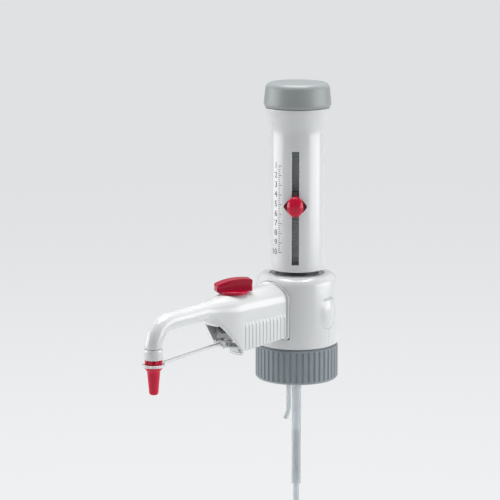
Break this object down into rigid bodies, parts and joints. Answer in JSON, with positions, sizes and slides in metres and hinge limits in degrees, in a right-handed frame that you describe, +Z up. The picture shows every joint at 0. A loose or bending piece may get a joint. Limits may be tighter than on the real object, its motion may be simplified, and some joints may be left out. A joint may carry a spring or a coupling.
{
  "type": "bottle-top dispenser",
  "caption": "Bottle-top liquid dispenser: a ribbed screw collar, a valve block, a lifting piston sleeve with a volume scale, and a hooded gooseneck with a recirculation lever and tethered cap.",
  "frame": {"origin": "centre of the seat for the bottle's rim, on the pump's axis", "axes": "+Z up along the piston's axis; the dispensing arm points along -X; the vent cap is on -Y"},
  "size_m": [0.1675, 0.055, 0.315],
  "materials": {
    "white_plastic": "satin moulded",
    "grey_plastic": "fine matt",
    "dark_plastic": "matt",
    "red_plastic": "glossy moulded",
    "clear_tube": "milky clear",
    "glass": "clear",
    "fluoropolymer": "waxy",
    "spring_metal": "bright"
  },
  "bodies": {
    "collar": {"bottle_collar": "grey_plastic"},
    "valve_block": {"valve_block": "white_plastic", "vent_cap": "white_plastic", "valve_insert": "fluoropolymer", "neck_seal": "fluoropolymer", "collar_retaining_ring": "white_plastic", "filling_valve": "fluoropolymer", "filling_tube_upper": "clear_tube", "recirculation_tube": "clear_tube", "glass_cylinder": "glass", "cylinder_guard": "white_plastic", "safety_ring": "dark_plastic", "discharge_housing": "white_plastic", "nozzle_collar": "white_plastic", "discharge_tube": "clear_tube", "recirculation_valve_body": "fluoropolymer", "discharge_spring": "spring_metal", "tether_bracket": "white_plastic", "tether_pin": "spring_metal"},
    "dosing_unit": {"stroke_sleeve": "white_plastic", "calibration_cap": "grey_plastic", "calibration_nut": "dark_plastic", "piston": "fluoropolymer", "piston_seal_lower": "fluoropolymer", "piston_seal_upper": "fluoropolymer", "piston_carrier": "white_plastic", "rack_strip": "dark_plastic"},
    "volume_pointer": {"stop_shoe": "dark_plastic", "pointer_plate": "red_plastic"},
    "thumb_screw": {"thumb_screw": "red_plastic"},
    "lever": {"recirculation_lever": "red_plastic", "valve_plug": "fluoropolymer"},
    "tether": {"cap_tether": "white_plastic"},
    "nozzle_cap": {"nozzle_cap": "red_plastic"},
    "tube_lock": {"tube_lock": "white_plastic"},
    "lower_tube": {"filling_tube_lower": "clear_tube"},
    "filling_ball": {"filling_valve_ball": "glass"},
    "discharge_ball": {"discharge_valve_ball": "glass"}
  },
  "joints": [
    {"name": "block_turn", "type": "hinge", "parent": "collar", "child": "valve_block", "pos_m": [0, 0, 0], "axis": [0, 0, 1], "continuous": true},
    {"name": "stroke", "type": "slide", "parent": "valve_block", "child": "dosing_unit", "axis": [0, 0, 1], "range_m": [0, 0.0626]},
    {"name": "volume_set", "type": "slide", "parent": "dosing_unit", "child": "volume_pointer", "axis": [0, 0, 1], "range_m": [-0.0307, 0.0256]},
    {"name": "clamp_turn", "type": "hinge", "parent": "volume_pointer", "child": "thumb_screw", "pos_m": [0, 0, 0.0976], "axis": [-0.7912, -0.6115, 0], "range_deg": [0, 270]},
    {"name": "lever_turn", "type": "hinge", "parent": "valve_block", "child": "lever", "pos_m": [-0.061, 0, 0.0462], "axis": [0, 0, 1], "range_deg": [0, 180]},
    {"name": "tether_swing", "type": "hinge", "parent": "valve_block", "child": "tether", "pos_m": [-0.072, 0, 0.0155], "axis": [0, -1, 0], "range_deg": [0, 80]},
    {"name": "cap_turn", "type": "hinge", "parent": "tether", "child": "nozzle_cap", "pos_m": [-0.133, 0, 0.0117], "axis": [0, 0, 1], "continuous": true},
    {"name": "lock_push", "type": "slide", "parent": "valve_block", "child": "tube_lock", "axis": [0, 0, 1], "range_m": [0, 0.005]},
    {"name": "tube_extend", "type": "slide", "parent": "valve_block", "child": "lower_tube", "axis": [0, 0, -1], "range_m": [-0.034, 0.028]},
    {"name": "filling_ball_lift", "type": "slide", "parent": "valve_block", "child": "filling_ball", "axis": [0, 0, 1], "range_m": [0, 0.003]},
    {"name": "discharge_ball_lift", "type": "slide", "parent": "valve_block", "child": "discharge_ball", "axis": [-1, 0, 0], "range_m": [0, 0.0008], "stiffness_N_per_m": 10}
  ]
}
